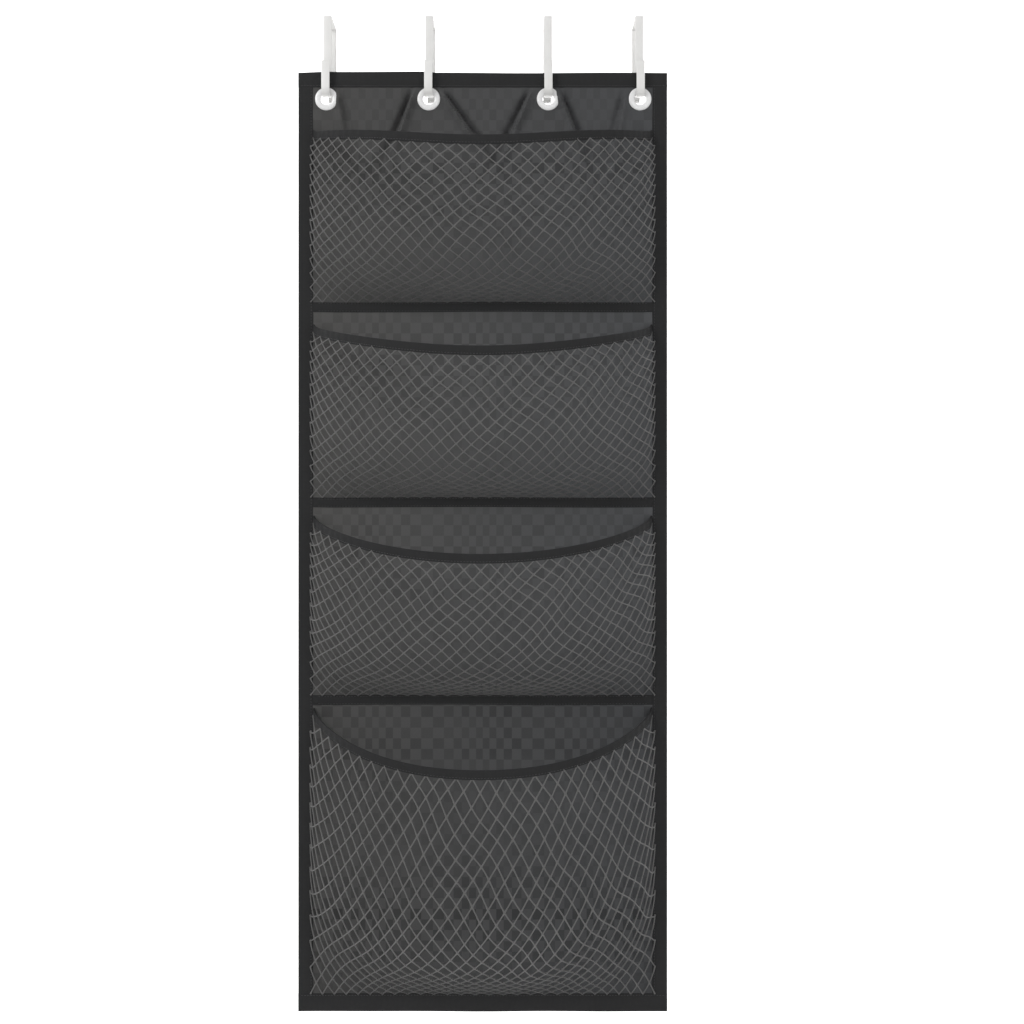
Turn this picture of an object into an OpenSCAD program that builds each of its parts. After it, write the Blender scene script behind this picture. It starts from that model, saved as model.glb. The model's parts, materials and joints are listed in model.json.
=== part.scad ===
// Over-door shoe organizer: a sewn panel with four net pockets, hung on four strip hooks.
// The origin is the middle of the door's top front edge: +X right, +Y into the door, +Z up.

/* [Panel] */
// Width of the panel over its edge tapes
panel_width = 450; // [430:1:480]
// Height of the panel over its edge tapes
panel_height = 1145; // [1125:1:1300]
// Thickness of the lining
lining_thickness = 1; // [0.8:0.1:1.2]
// Width of the tape folded over the top and side edges
edge_tape_width = 18; // [14:1:20]
// Width of the tape folded over the bottom edge
bottom_tape_width = 22; // [16:1:26]
// Thickness of one layer of tape
tape_thickness = 0.5; // [0.4:0.1:0.8]

/* [Pockets] */
// How far a pocket's mouth stands out from the lining
pocket_bulge = 122; // [60:1:130]
// Thickness of the net
net_thickness = 0.8; // [0.5:0.1:1]
// Drops from the top edge to the ends of the four mouths
mouth_drops = [70, 307, 540, 774]; // [66:1:780]
// How far the middles of the four mouths hang below their ends
mouth_sags = [40, 41, 43, 53]; // [20:1:60]
// Height of the tape folded over a mouth
mouth_tape_height = 11; // [8:1:14]
// Share of a pocket's height that curves back to the lining
curved_share = 0.5; // [0.35:0.05:0.7]
// Drops from the top edge to the three fold lines
fold_drops = [293, 531, 772]; // [280:1:790]
// Height of the tape above each fold line
band_height = 12; // [8:1:16]

/* [Eyelets] */
// Radius of the hole through an eyelet
eyelet_hole_radius = 7; // [6.9:0.1:8]
// Outer radius of an eyelet's flange
eyelet_flange_radius = 14; // [12:0.5:14]
// Drop from the top edge to the eyelets' centres
eyelet_drop = 32; // [32:1:36]
// Places of the four eyelets across the panel
eyelet_places = [-190.6, -65.9, 79.9, 191.8]; // [-192:0.1:192]

/* [Hooks] */
// Width of the strip that a hook is bent from
strip_width = 10; // [8:0.5:10]
// Thickness of the strip
strip_thickness = 1.8; // [1.2:0.1:1.8]
// Space between a hook's two legs, for the door
door_space = 44; // [40:1:50]
// Drop from the door's top to the centre of a hook's round end
round_end_drop = 91; // [80:1:110]
// Inner radius of a hook's round end
round_end_radius = 9; // [9:0.5:12]
// Length of a hook's straight tip
tip_length = 31; // [20:1:40]
// Drop from the door's top to the fold of the rear leg
rear_fold_drop = 90; // [85:1:100]
// How far a spring tongue leans towards the door
tongue_lean = 10; // [6:0.5:12]
// Rise from the fold to the bend in a spring tongue
tongue_bend_rise = 58; // [50:1:64]
// Rise from the fold to the top of a spring tongue
tongue_top_rise = 72; // [68:1:80]

/* [Hidden] */
$fn = 96;

// The panel hangs in the plane through the centre of the hooks' round ends.
panel_plane = -strip_thickness - round_end_radius;
lining_front = panel_plane - lining_thickness / 2;
lining_back = panel_plane + lining_thickness / 2;

// An eyelet's centre lies this much above where the strip's upper corners would touch its hole.
hang_clearance = 0.7;
corner_rise = sqrt(pow(eyelet_hole_radius, 2) - pow(strip_width / 2, 2));
eyelet_z = -round_end_drop - round_end_radius - corner_rise + hang_clearance;
panel_top = eyelet_z + eyelet_drop;

// The fabric stops this far short of a fold line, so that two sections can turn about it.
fold_clearance = 1;
slip = 0.1;
tape_inner_x = panel_width / 2 - edge_tape_width;
lining_half_width = panel_width / 2 - tape_thickness - slip;
net_side_gap = 0.8;
net_half_width = tape_inner_x - net_side_gap;
lining_side_end = panel_height - bottom_tape_width;
section_tops = [0, fold_drops[0], fold_drops[1], fold_drops[2]];
section_ends = [fold_drops[0], fold_drops[1], fold_drops[2], panel_height];

eyelet_dome = 1.7;
barrel_wall = 1;
barrel_clearance = 0.1;
washer_thickness = 0.8;
washer_radius = 13;
rolled_edge = 0.6;
rolled_lip = 1.5;
bend_radius = 0.8;
fold_radius = 0.6;
fold_end_angle = 10;
cut_margin = 1;

net_stations = 32;
net_rows = 12;
mouth_layer = 0.6;

function section_top(i) = section_tops[i] + (i == 0 ? 0 : fold_clearance);
function section_end(i) = section_ends[i] - (i == 3 ? 0 : fold_clearance);
function net_end(i) = i == 3 ? lining_side_end : section_end(i) - band_height;

// The net's lower edge stands this far off the lining, where its hem lies behind it.
hem_gap = 0.5;
// The rest of a mouth's sag follows the square of the sine.
round_sag_share = 0.45;

// A pocket keeps its full bulge down to the curved share, and then closes along a quarter sine.
function fullness(v) = sin(90 * min(1, (1 - v) / curved_share));
function mouth_level(i, phi) =
  mouth_drops[i]
  + mouth_sags[i] * (round_sag_share * sin(phi) + (1 - round_sag_share) * pow(sin(phi), 2));
function pocket_point(phi, drop, bulge, offset) = [
  -(net_half_width + offset) * cos(phi),
  lining_front - (bulge + offset) * sin(phi),
  panel_top - drop
];

// One point of pocket i's net at share v of its height; offset moves it off the outer face.
function net_point(i, phi, v, offset) =
  let (top = mouth_level(i, phi) + mouth_layer + slip)
  let (drop = top + (net_end(i) - top) * v)
  let (least = net_thickness + hem_gap)
  let (bulge = least + (pocket_bulge - least) * fullness(v))
  pocket_point(phi, drop, bulge, offset);

// Two triangles for the four corners of a face, named clockwise from outside.
function halves(a, b, c, d) = [[a, b, c], [a, c, d]];

// Joins rings of points of equal size into a closed skin with flat ends.
module skin(rings) {
  count = len(rings[0]);
  last = len(rings) - 1;
  sides = [
    for (r = [0 : last - 1], c = [0 : count - 1])
      let (a = r * count + c, b = r * count + (c + 1) % count)
      each halves(a, a + count, b + count, b)
  ];
  start = [for (c = [0 : count - 1]) c];
  end = [for (c = [count - 1 : -1 : 0]) last * count + c];
  polyhedron([for (ring = rings) each ring], concat(sides, [start, end]));
}

// Joins two grids of points, one for each face of a sheet, into a closed shell.
module shell(outer, inner) {
  count = len(outer[0]);
  last = len(outer) - 1;
  bottom = count - 1;
  below = len(outer) * count;
  faces = [
    for (s = [0 : last - 1])
      let (a = s * count, b = a + count)
      each concat(
        halves(below + a, below + b, b, a),
        halves(a + bottom, b + bottom, below + b + bottom, below + a + bottom),
        [for (r = [0 : bottom - 1]) each halves(a + r, b + r, b + r + 1, a + r + 1)],
        [
          for (r = [0 : bottom - 1])
            each halves(below + a + r, below + a + r + 1, below + b + r + 1, below + b + r)
        ]
      )
  ];
  left = [for (r = [0 : bottom - 1]) each halves(below + r, r, r + 1, below + r + 1)];
  e = last * count;
  right = [
    for (r = [0 : bottom - 1])
      each halves(e + r, below + e + r, below + e + r + 1, e + r + 1)
  ];
  points = concat([for (column = outer) each column], [for (column = inner) each column]);
  polyhedron(points, concat(faces, left, right));
}

module side_profile(x) {
  translate([x - strip_width / 2, 0, 0])
    rotate([90, 0, 90])
      linear_extrude(strip_width) children();
}

// A quarter or half ring in a hook's side view, inside the given rectangle.
module bend(centre, inner, low, size) {
  translate(centre) intersection() {
    difference() {
      circle(inner + strip_thickness);
      circle(inner);
    }
    translate(low) square(size);
  }
}

module hook(i) {
  outer = bend_radius + strip_thickness;
  tip_outer = -strip_thickness - 2 * round_end_radius;
  reach = round_end_radius + strip_thickness;
  fold_centre = [door_space - fold_radius, -rear_fold_drop];
  fold_outer = fold_radius + strip_thickness;
  sector = 2 * fold_outer;
  color("whitesmoke") side_profile(eyelet_places[i]) union() {
    // straight tip, round end and front leg
    translate([tip_outer - strip_thickness, -round_end_drop]) square([strip_thickness, tip_length]);
    bend([panel_plane, -round_end_drop], round_end_radius, [-reach, -reach], [2 * reach, reach]);
    translate([-strip_thickness, -round_end_drop])
      square([strip_thickness, round_end_drop - bend_radius]);
    // bridge over the door, with a small bend at each end
    bend([bend_radius, -bend_radius], bend_radius, [-outer, 0], [outer, outer]);
    translate([bend_radius, 0]) square([door_space - 2 * bend_radius, strip_thickness]);
    bend([door_space - bend_radius, -bend_radius], bend_radius, [0, 0], [outer, outer]);
    // rear leg, and the sharp fold that the spring tongue grows out of
    translate([door_space, -rear_fold_drop]) square([strip_thickness, rear_fold_drop - bend_radius]);
    translate(fold_centre) intersection() {
      difference() {
        circle(fold_outer);
        circle(fold_radius);
      }
      polygon([
        [0, 0], [sector, 0], [sector, -sector], [-sector, -sector],
        [-sector * cos(fold_end_angle), -sector * sin(fold_end_angle)]
      ]);
    }
  }
}

module spring_tongue(i) {
  root = door_space - 2 * fold_radius - strip_thickness;
  slant = tongue_lean / tongue_bend_rise;
  color("whitesmoke") side_profile(eyelet_places[i]) translate([root, -rear_fold_drop]) polygon([
    [0, 0],
    [strip_thickness, 0],
    [strip_thickness - tongue_lean, tongue_bend_rise + strip_thickness * slant / 2],
    [strip_thickness - tongue_lean, tongue_top_rise],
    [-tongue_lean, tongue_top_rise],
    [-tongue_lean, tongue_bend_rise - strip_thickness * slant / 2]
  ]);
}

// Places a ring turned about Z on the panel, with its axis along the door's depth.
module at_eyelet(i) {
  translate([eyelet_places[i], 0, eyelet_z]) rotate([90, 0, 0]) children();
}

module eyelet(i) {
  barrel_outer = eyelet_hole_radius + barrel_wall;
  front = -lining_front;
  washer_back = -lining_back - washer_thickness;
  middle = (barrel_outer + eyelet_flange_radius) / 2;
  color("white") at_eyelet(i) rotate_extrude() union() {
    // domed flange with a rounded outer edge
    translate([eyelet_hole_radius + rolled_edge, front])
      square([eyelet_flange_radius - eyelet_hole_radius - 2 * rolled_edge, eyelet_dome - rolled_edge]);
    translate([eyelet_flange_radius - rolled_edge, front]) square([rolled_edge, rolled_edge]);
    translate([eyelet_flange_radius - rolled_edge, front + rolled_edge]) circle(rolled_edge);
    translate([middle, front + rolled_edge / 2]) intersection() {
      scale([eyelet_flange_radius - middle - rolled_edge, eyelet_dome - rolled_edge / 2])
        circle(1);
      translate([-eyelet_flange_radius, 0]) square(2 * eyelet_flange_radius);
    }
    // barrel through the lining, rolled over behind the washer
    translate([eyelet_hole_radius, washer_back - rolled_edge])
      square([barrel_wall, front - washer_back + 2 * rolled_edge]);
    translate([eyelet_hole_radius, washer_back - 2 * rolled_edge])
      square([barrel_wall + rolled_lip, 2 * rolled_edge - slip / 2]);
  }
}

module eyelet_washer(i) {
  inner = eyelet_hole_radius + barrel_wall + barrel_clearance;
  color("white") at_eyelet(i) rotate_extrude()
    translate([inner, -lining_back - washer_thickness])
      square([washer_radius - inner, washer_thickness]);
}

// A flat block on the panel, between two places across and two drops from the top edge.
module patch(x0, x1, drop0, drop1, front, back) {
  translate([x0, front, panel_top - drop1]) cube([x1 - x0, back - front, drop1 - drop0]);
}

module back_panel(i) {
  top = i == 0 ? tape_thickness + slip : section_top(i);
  end = i == 3 ? panel_height - tape_thickness - slip : section_end(i);
  color("#474747") difference() {
    patch(-lining_half_width, lining_half_width, top, end, lining_front, lining_back);
    if (i == 0) {
      for (e = [0 : 3]) {
        translate([eyelet_places[e], lining_back + cut_margin, eyelet_z])
          rotate([90, 0, 0])
            cylinder(
              h = lining_thickness + 2 * cut_margin,
              r = eyelet_hole_radius + barrel_wall + barrel_clearance
            );
      }
    }
  }
}

// Tape folded over an upright edge: a front leg, a back leg and the fold between them.
module side_tape(i, side) {
  top = i == 0 ? edge_tape_width : section_top(i);
  end = i == 3 ? lining_side_end : section_end(i);
  outer = panel_width / 2;
  color("#2f2f2f") mirror([side < 0 ? 1 : 0, 0, 0]) union() {
    patch(tape_inner_x, outer, top, end, lining_front - tape_thickness, lining_front);
    patch(tape_inner_x, outer, top, end, lining_back, lining_back + tape_thickness);
    patch(outer - tape_thickness, outer, top, end, lining_front, lining_back);
  }
}

// Tape folded over a level edge; the fold lies at fold_drop0 to fold_drop1.
module level_tape(drop0, drop1, fold_drop0, fold_drop1) {
  outer = panel_width / 2;
  color("#2f2f2f") union() {
    patch(-outer, outer, drop0, drop1, lining_front - tape_thickness, lining_front);
    patch(-outer, outer, drop0, drop1, lining_back, lining_back + tape_thickness);
    patch(-outer, outer, fold_drop0, fold_drop1, lining_front, lining_back);
  }
}

module top_tape() {
  level_tape(0, edge_tape_width, 0, tape_thickness);
}

module bottom_tape() {
  level_tape(lining_side_end, panel_height, panel_height - tape_thickness, panel_height);
}

module seam_band(i) {
  end = section_end(i);
  front = lining_front - tape_thickness;
  color("#2f2f2f")
    patch(slip - tape_inner_x, tape_inner_x - slip, end - band_height, end, front, lining_front);
}

// A pocket's net as columns of points from its left edge to its right, moved off the outer face.
function net_grid(i, offset) = [
  for (s = [0 : net_stations])
    [for (r = [0 : net_rows]) net_point(i, 180 * s / net_stations, r / net_rows, offset)]
];

module pocket_net(i) {
  color("#686868") shell(net_grid(i, 0), net_grid(i, -net_thickness));
}

// The mouth tape's section is a channel that holds the net's upper edge.
module mouth_tape(i) {
  outer = slip + mouth_layer;
  inner = -net_thickness - slip - mouth_layer;
  section = [
    [outer, 0], [outer, mouth_tape_height], [slip, mouth_tape_height], [slip, mouth_layer],
    [inner + mouth_layer, mouth_layer], [inner + mouth_layer, mouth_tape_height],
    [inner, mouth_tape_height], [inner, 0]
  ];
  color("#2f2f2f") skin([
    for (s = [0 : net_stations])
      let (phi = 180 * s / net_stations)
      [
        for (p = section)
          pocket_point(phi, mouth_level(i, phi) + p[1], pocket_bulge, p[0])
      ]
  ]);
}

hook(0);  // hook_1
hook(1);  // hook_2
hook(2);  // hook_3
hook(3);  // hook_4
spring_tongue(0);  // spring_tongue_1
spring_tongue(1);  // spring_tongue_2
spring_tongue(2);  // spring_tongue_3
spring_tongue(3);  // spring_tongue_4
eyelet(0);  // eyelet_1
eyelet(1);  // eyelet_2
eyelet(2);  // eyelet_3
eyelet(3);  // eyelet_4
eyelet_washer(0);  // eyelet_washer_1
eyelet_washer(1);  // eyelet_washer_2
eyelet_washer(2);  // eyelet_washer_3
eyelet_washer(3);  // eyelet_washer_4
back_panel(0);  // back_panel_1
back_panel(1);  // back_panel_2
back_panel(2);  // back_panel_3
back_panel(3);  // back_panel_4
top_tape();
bottom_tape();
side_tape(0, -1);  // left_tape_1
side_tape(1, -1);  // left_tape_2
side_tape(2, -1);  // left_tape_3
side_tape(3, -1);  // left_tape_4
side_tape(0, 1);  // right_tape_1
side_tape(1, 1);  // right_tape_2
side_tape(2, 1);  // right_tape_3
side_tape(3, 1);  // right_tape_4
seam_band(0);  // seam_band_1
seam_band(1);  // seam_band_2
seam_band(2);  // seam_band_3
pocket_net(0);  // pocket_net_1
pocket_net(1);  // pocket_net_2
pocket_net(2);  // pocket_net_3
pocket_net(3);  // pocket_net_4
mouth_tape(0);  // mouth_tape_1
mouth_tape(1);  // mouth_tape_2
mouth_tape(2);  // mouth_tape_3
mouth_tape(3);  // mouth_tape_4
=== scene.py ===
import json
import math

import bmesh
import bpy
import numpy as np
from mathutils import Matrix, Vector


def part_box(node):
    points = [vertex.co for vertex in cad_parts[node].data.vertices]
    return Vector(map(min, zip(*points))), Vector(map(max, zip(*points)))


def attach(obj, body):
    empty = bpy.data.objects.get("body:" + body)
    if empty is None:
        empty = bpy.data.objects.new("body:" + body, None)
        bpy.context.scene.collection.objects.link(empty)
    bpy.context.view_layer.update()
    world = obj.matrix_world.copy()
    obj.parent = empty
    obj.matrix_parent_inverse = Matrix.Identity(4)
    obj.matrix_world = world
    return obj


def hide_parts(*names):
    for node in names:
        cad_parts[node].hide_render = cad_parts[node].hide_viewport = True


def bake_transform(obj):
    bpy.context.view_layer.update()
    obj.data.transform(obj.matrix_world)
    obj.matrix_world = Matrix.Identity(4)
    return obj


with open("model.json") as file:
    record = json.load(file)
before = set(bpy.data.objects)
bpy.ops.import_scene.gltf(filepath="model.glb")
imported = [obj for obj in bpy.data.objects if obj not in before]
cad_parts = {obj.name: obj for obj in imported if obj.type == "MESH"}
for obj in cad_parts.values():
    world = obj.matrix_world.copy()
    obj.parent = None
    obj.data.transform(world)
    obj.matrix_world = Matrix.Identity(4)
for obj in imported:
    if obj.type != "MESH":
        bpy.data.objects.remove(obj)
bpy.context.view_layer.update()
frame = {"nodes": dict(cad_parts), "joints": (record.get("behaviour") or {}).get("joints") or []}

joints = {joint["name"]: joint for joint in frame["joints"]}
seeds = np.random.default_rng(41)
mm = 0.001

def span(node):
    low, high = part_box(node)
    return np.array(low), np.array(high)


panelLow, panelHigh = span("bottom_tape")[0], span("top_tape")[1]
halfPanel = panelHigh[0]
liningLow, liningHigh = span("back_panel_1")
liningFront, liningBack = liningLow[1], liningHigh[1]
tapeInner = span("right_tape_1")[0][0]
foldLevels = [joints[f"fold_{k}"]["pos_m"][2] for k in (1, 2, 3)]
eyeletCentres = [(span(f"eyelet_{k}")[0] + span(f"eyelet_{k}")[1]) / 2 for k in (1, 2, 3, 4)]
pocketNames = [1, 2, 3, 4]


# A part is [points, four-sided faces, each corner's place on the cut, finish number, many-sided lids].
# A grid of points[r, c] becomes four-sided faces; a closed one joins its last column to its first.
def gridPart(points, u, v, closed=False, caps=False, finish=0):
    rows, columns = points.shape[:2]
    across = columns if closed else columns - 1
    r, c = np.meshgrid(np.arange(rows - 1), np.arange(across), indexing="ij")
    d = (c + 1) % columns
    faces = np.stack([
        r * columns + c, (r + 1) * columns + c, (r + 1) * columns + d, r * columns + d], -1)
    corners = np.stack([
        np.stack([u[r], v[c]], -1), np.stack([u[r + 1], v[c]], -1),
        np.stack([u[r + 1], v[c + 1]], -1), np.stack([u[r], v[c + 1]], -1)], -2)
    points = points.reshape(-1, 3)
    faces, corners = faces.reshape(-1, 4), corners.reshape(-1, 4, 2)
    lids = []
    if caps:  # a flat many-sided lid on each end of a closed profile
        ring = np.arange(columns)
        lids = [(ring, u[0]), (ring[::-1] + (rows - 1) * columns, u[-1])]
    return outward([points, faces, corners, finish, lids])


# Six times the volume inside the faces, by the sum of corner products; its sign says which way they face.
def outward(part):
    points, faces, corners, finish, lids = part
    middle = points.mean(0)
    a, b, c, d = [points[faces[:, k]] - middle for k in range(4)]
    volume = (a * np.cross(b, c)).sum() + (a * np.cross(c, d)).sum()
    if volume < 0:
        faces, corners = faces[:, ::-1], corners[:, ::-1]
        lids = [(ring[::-1], place) for ring, place in lids]
    return [points, faces, corners, finish, lids]


# One mesh from several parts; the map called cut holds each corner's place on the flat cloth, in metres.
def makePiece(name, parts, finishes, smooth=True):
    points, loops, totals, maps, numbers, start = [], [], [], [], [], 0
    for partPoints, faces, corners, finish, lids in parts:
        points.append(partPoints)
        loops.append((faces + start).ravel())
        maps.append(corners.reshape(-1, 2))
        totals.append(np.full(len(faces), 4))
        numbers.append(np.full(len(faces), finish))
        for ring, place in lids:
            loops.append(ring + start)
            maps.append(np.tile([place, 0.0], (len(ring), 1)))
            totals.append([len(ring)])
            numbers.append([finish])
        start += len(partPoints)
    points, loops, totals = np.concatenate(points), np.concatenate(loops), np.concatenate(totals)
    mesh = bpy.data.meshes.new(name)
    mesh.vertices.add(len(points))
    mesh.vertices.foreach_set("co", points.astype(np.float32).ravel())
    mesh.loops.add(len(loops))
    mesh.loops.foreach_set("vertex_index", loops.astype(np.int32))
    mesh.polygons.add(len(totals))
    mesh.polygons.foreach_set("loop_start", (np.cumsum(totals) - totals).astype(np.int32))
    mesh.polygons.foreach_set("material_index", np.concatenate(numbers).astype(np.int32))
    mesh.update(calc_edges=True)
    cut = mesh.uv_layers.new(name="cut")
    cut.data.foreach_set("uv", np.concatenate(maps).astype(np.float32).ravel())
    mesh.polygons.foreach_set("use_smooth", np.full(len(totals), smooth))
    mesh.validate()
    if smooth:  # a cord's six sides stay smooth; a cut edge stays crisp
        mesh.set_sharp_from_angle(angle=math.radians(62))
    for finish in finishes:
        mesh.materials.append(finish)
    piece = bpy.data.objects.new(name, mesh)
    bpy.context.scene.collection.objects.link(piece)
    return piece


# A closed sheet between two equal grids of points; cells left out of keep become holes with walls.
def slabPart(front, back, u, v, keep=None, finish=0):
    rows, columns = front.shape[:2]
    keep = np.ones((rows - 1, columns - 1), bool) if keep is None else keep
    number = np.arange(rows * columns).reshape(rows, columns)
    behind = number + rows * columns
    r, c = np.nonzero(keep)
    faceA = np.stack([number[r, c], number[r + 1, c], number[r + 1, c + 1], number[r, c + 1]], -1)
    faceB = faceA[:, ::-1] + rows * columns
    place = np.stack(np.broadcast_arrays(u[:, None], v[None, :]), -1).reshape(-1, 2)
    place = np.concatenate([place, place])
    padded = np.pad(keep, 1)
    walls = []
    for stepR, stepC in ((0, 1), (0, -1), (1, 0), (-1, 0)):
        near = np.roll(np.roll(padded, -stepR, 0), -stepC, 1)[1:-1, 1:-1]
        r, c = np.nonzero(keep & ~near)
        if stepC:
            side = c + (stepC > 0)
            a, b = number[r, side], number[r + 1, side]
            a, b = (a, b) if stepC > 0 else (b, a)
        else:
            side = r + (stepR > 0)
            a, b = number[side, c], number[side, c + 1]
            a, b = (b, a) if stepR > 0 else (a, b)
        walls.append(np.stack([b, a, a + rows * columns, b + rows * columns], -1))
    faces = np.concatenate([faceA, faceB, *walls])
    points = np.concatenate([front.reshape(-1, 3), back.reshape(-1, 3)])
    return outward([points, faces, place[faces], finish, []])


# Closed profile of a strip, as (across, deep) pairs; each corner is a quarter circle.
def roundedStrip(width, thickness, corner, steps=4):
    a = np.linspace(0, math.pi / 2, steps)
    quarter = np.stack([np.cos(a), np.sin(a)], 1) * corner
    middle = np.array([width / 2 - corner, thickness / 2 - corner])
    turned = []
    for signX, signY, order in ((1, 1, 1), (-1, 1, -1), (-1, -1, 1), (1, -1, -1)):
        turned.append(((quarter + middle) * [signX, signY])[::order])
    return np.concatenate(turned)


stitchShape = {
    "pitch": 3.6 * mm, "length": 2.7 * mm, "thread": 0.24 * mm, "sides": 6, "rings": 5,
    "least": 0.02, "dip": 0.35, "shortest": 0.92, "longest": 1.06}


# Thread stitches, t from -1 to 1 along each: a six-sided spindle of radius thread * sqrt(1 - t^4) between
# two points, whose ends dip into the cloth by a share of t^4.
def stitchPart(starts, ends, out, finish=1):
    shape = stitchShape
    t = np.linspace(-1, 1, shape["rings"])
    radius = shape["thread"] * np.sqrt(np.maximum(1 - t ** 4, shape["least"]))
    dip = -shape["dip"] * shape["thread"] * t ** 4
    turn = np.arange(shape["sides"]) * 2 * math.pi / shape["sides"]
    along = ends - starts
    side = np.cross(along, out)
    side /= np.maximum(np.linalg.norm(side, axis=1, keepdims=True), 1e-9)
    middle = (starts[:, None] + along[:, None] * (t[None, :, None] + 1) / 2
              + out[:, None] * dip[None, :, None])
    ring = (side[:, None, None] * np.cos(turn)[None, None, :, None]
            + out[:, None, None] * np.sin(turn)[None, None, :, None]) * radius[None, :, None, None]
    points = (middle[:, :, None] + ring).reshape(-1, 3)
    rings, sides, count = shape["rings"], shape["sides"], len(starts)
    r, c = np.meshgrid(np.arange(rings - 1), np.arange(sides), indexing="ij")
    d = (c + 1) % sides
    one = np.stack([r * sides + c, r * sides + d, (r + 1) * sides + d, (r + 1) * sides + c], -1)
    one = one.reshape(-1, 4)
    lid = np.array([[0, 5, 4, 3], [0, 3, 2, 1]])
    one = np.concatenate([one, lid, lid[:, ::-1] + (rings - 1) * sides])
    faces = (one[None] + (np.arange(count) * rings * sides)[:, None, None]).reshape(-1, 4)
    corners = np.zeros((len(faces), 4, 2))
    return outward([points, faces, corners, finish, []])


# Stitches along a line of points, a pitch apart, each a little uneven.
def stitchRow(line, out):
    step = np.linalg.norm(np.diff(line, axis=0), axis=1)
    length = np.concatenate([[0], np.cumsum(step)])
    count = max(1, int(length[-1] / stitchShape["pitch"]))
    middle = (np.arange(count) + 0.5) * length[-1] / count
    uneven = seeds.uniform(stitchShape["shortest"], stitchShape["longest"], count)
    spread = stitchShape["length"] / 2 * uneven
    at = lambda place, field: np.stack([np.interp(place, length, field[:, k]) for k in range(3)], 1)
    return stitchPart(at(middle - spread, line), at(middle + spread, line), at(middle, out))


class Wire:  # a socket's value; + - * between wires and numbers add Math nodes
    def __init__(self, finish, socket):
        self.finish, self.socket = finish, socket

    def __add__(self, other):
        return self.finish.math("ADD", self, other)

    __radd__ = __add__

    def __sub__(self, other):
        return self.finish.math("SUBTRACT", self, other)

    def __rsub__(self, other):
        return self.finish.math("SUBTRACT", other, self)

    def __mul__(self, other):
        return self.finish.math("MULTIPLY", self, other)

    __rmul__ = __mul__


class Finish:  # one material with a principled shader
    def __init__(self, name, **constants):
        self.material = bpy.data.materials.new(name)
        self.material.use_nodes = True
        self.tree = self.material.node_tree
        self.tree.nodes.clear()
        self.shader = self.tree.nodes.new("ShaderNodeBsdfPrincipled")
        output = self.tree.nodes.new("ShaderNodeOutputMaterial")
        self.tree.links.new(self.shader.outputs["BSDF"], output.inputs["Surface"])
        for socket, value in constants.items():
            self.feed(self.shader.inputs[socket.replace("_", " ")], value)

    def feed(self, socket, value):
        if isinstance(value, Wire):
            self.tree.links.new(value.socket, socket)
        elif hasattr(value, "__len__") and len(value) == 3 and len(socket.default_value) == 4:
            socket.default_value = (*value, 1)
        else:
            socket.default_value = value

    # Any node: its type, its settings, which are set first, and the values or links of its sockets.
    def node(self, kind, settings=None, inputs=None, output=0):
        made = self.tree.nodes.new("ShaderNode" + kind)
        for key, value in (settings or {}).items():
            if key == "stops":
                for stop, (place, colour) in zip(made.color_ramp.elements, value):
                    stop.position, stop.color = place, (*colour, 1)
            else:
                setattr(made, key, value)
        for key, value in (inputs or {}).items():
            self.feed(made.inputs[key], value)
        return Wire(self, made.outputs[output])

    def math(self, operation, a, b=0.0, c=0.0):
        return self.node("Math", {"operation": operation}, {0: a, 1: b, 2: c})

    def mix(self, share, a, b):
        return self.node("Mix", {"data_type": "RGBA"}, {0: share, 6: a, 7: b}, output=2)

    def noise(self, where, scale, detail=2.0):
        return self.node("TexNoise", None, {"Vector": where, "Scale": scale, "Detail": detail})

    def paint(self, colour=None, roughness=None, height=None, depth=0.0002, strength=0.6):
        if colour:
            self.feed(self.shader.inputs["Base Color"], colour)
        if roughness:
            self.feed(self.shader.inputs["Roughness"], roughness)
        if height:
            bump = self.node("Bump", None, {"Strength": strength, "Distance": depth, "Height": height})
            self.feed(self.shader.inputs["Normal"], bump)
        return self.material

    def cutMap(self):  # place on the flat cloth, in metres
        where = self.node("UVMap", {"uv_map": "cut"})
        u = self.node("SeparateXYZ", None, {0: where}, output=0)
        v = self.node("SeparateXYZ", None, {0: where}, output=1)
        return where, u, v


# A plain weave: over and under waves of the two threads, the product of their sines.
def weave(finish, u, v, pitch):
    turns = 2 * math.pi / pitch
    warp = finish.math("SINE", u * turns)
    weft = finish.math("SINE", v * turns)
    return warp * weft


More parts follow.
